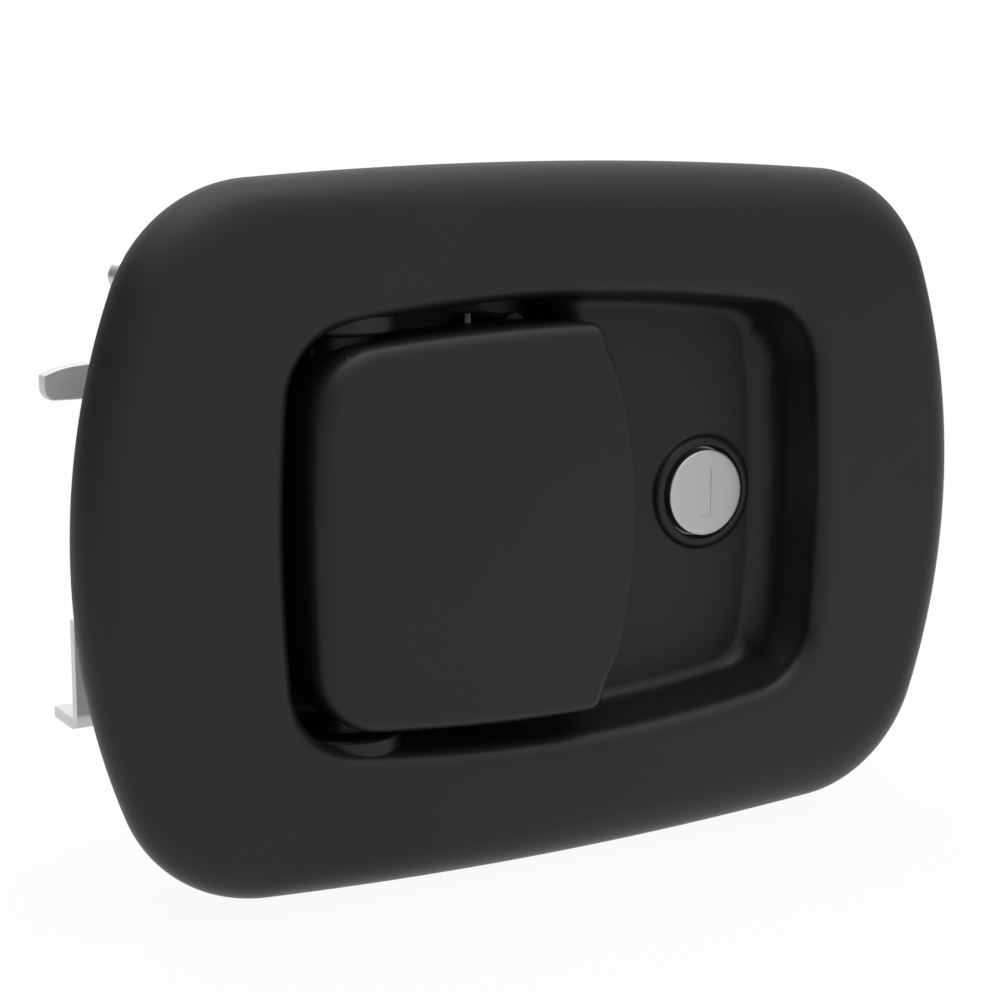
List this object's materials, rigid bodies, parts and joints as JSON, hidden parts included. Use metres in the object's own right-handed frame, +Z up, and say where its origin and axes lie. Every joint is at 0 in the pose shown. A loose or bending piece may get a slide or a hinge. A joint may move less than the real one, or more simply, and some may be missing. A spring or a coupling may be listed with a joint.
{
  "type": "paddle latch",
  "caption": "Flush paddle latch with a rounded flange, a hinged pull paddle in a deep pan, a key lock, and a bell-crank lever for a rod or cable behind.",
  "frame": {"origin": "middle of the flange's back face, which lies on the panel", "axes": "+X to the right along the flange's length, +Y into the panel, +Z up"},
  "size_m": [0.178, 0.0451, 0.1248],
  "materials": {
    "black_paint": "satin black powder coat",
    "foam": "closed-cell foam",
    "rubber": "matte",
    "zinc_plated": "clear zinc plate, satin",
    "spring_steel": "bright wire",
    "nylon": "natural nylon",
    "zinc_cast": "die-cast zinc, nickel plated",
    "lock_face": "fine brushed",
    "brass_parts": "plain"
  },
  "bodies": {
    "base": {"housing": "black_paint", "gasket": "foam", "stop_pads": "rubber", "mounting_studs": "zinc_plated", "hinge_pin": "zinc_plated", "hinge_clip": "spring_steel", "mechanism_plate": "zinc_plated", "plate_screws": "zinc_plated", "lever_pivot": "zinc_plated", "lever_washer": "nylon", "lever_clip": "spring_steel", "lock_body": "zinc_cast", "lock_seal": "rubber", "lock_nut": "zinc_cast", "slide_rivets": "zinc_plated", "slide_washers": "zinc_plated"},
    "paddle": {"paddle": "black_paint", "paddle_spring": "spring_steel"},
    "lever": {"lever": "zinc_plated", "lever_spring": "spring_steel"},
    "plug": {"lock_plug": "lock_face", "lock_wafers": "brass_parts", "lock_cam": "zinc_plated", "cam_screw": "zinc_plated"},
    "slide": {"lock_slide": "zinc_plated"}
  },
  "joints": [
    {"name": "paddle_hinge", "type": "hinge", "parent": "base", "child": "paddle", "pos_m": [-0.039, 0.003, 0], "axis": [0, 0, -1], "range_deg": [0, 28], "stiffness_Nm_per_rad": 0.6, "springref_deg": -20.05, "deforming": ["paddle_spring"]},
    {"name": "lever_pivot", "type": "hinge", "parent": "base", "child": "lever", "pos_m": [-0.0387, 0.028, -0.0082], "axis": [0, 1, 0], "range_deg": [0, 22.4], "stiffness_Nm_per_rad": 0.2, "springref_deg": -20.05, "deforming": ["lever_spring"]},
    {"name": "plug_turn", "type": "hinge", "parent": "base", "child": "plug", "pos_m": [0.0375, 0.01, 0], "axis": [0, 1, 0], "range_deg": [0, 90]},
    {"name": "slide_travel", "type": "slide", "parent": "base", "child": "slide", "axis": [-1, 0, 0], "range_m": [0, 0.01415]}
  ],
  "couplings": [
    {"joint": "lever_pivot", "follows": "paddle_hinge", "ratio": 0.8},
    {"joint": "plug_turn", "follows": "slide_travel", "rad_per_m": 111}
  ]
}
